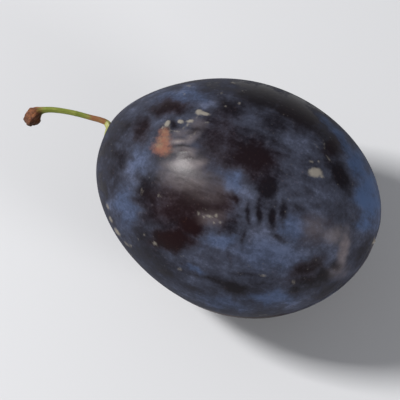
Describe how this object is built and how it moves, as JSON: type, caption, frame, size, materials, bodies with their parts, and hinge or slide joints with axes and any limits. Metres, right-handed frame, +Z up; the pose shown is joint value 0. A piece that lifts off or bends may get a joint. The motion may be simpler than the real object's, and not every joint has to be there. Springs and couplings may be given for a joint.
{
  "type": "plum",
  "caption": "Ripe blue plum lying on its side, oval, with a suture groove down one side and a thin curved stem with a woody end.",
  "frame": {"origin": "centre of the small flat spot that the plum rests on", "axes": "+X along the fruit from the stem end to the blossom end, +Z up from the resting spot, -Y towards the side that carries the suture"},
  "size_m": [0.0731, 0.045, 0.0428],
  "materials": {
    "skin": "satin, dark blue-violet skin under a dull grey-blue waxy bloom",
    "stem": "matt, yellow-green with a brown woody end"
  },
  "bodies": {
    "root": {"fruit": "skin", "stem": "stem"}
  },
  "joints": []
}
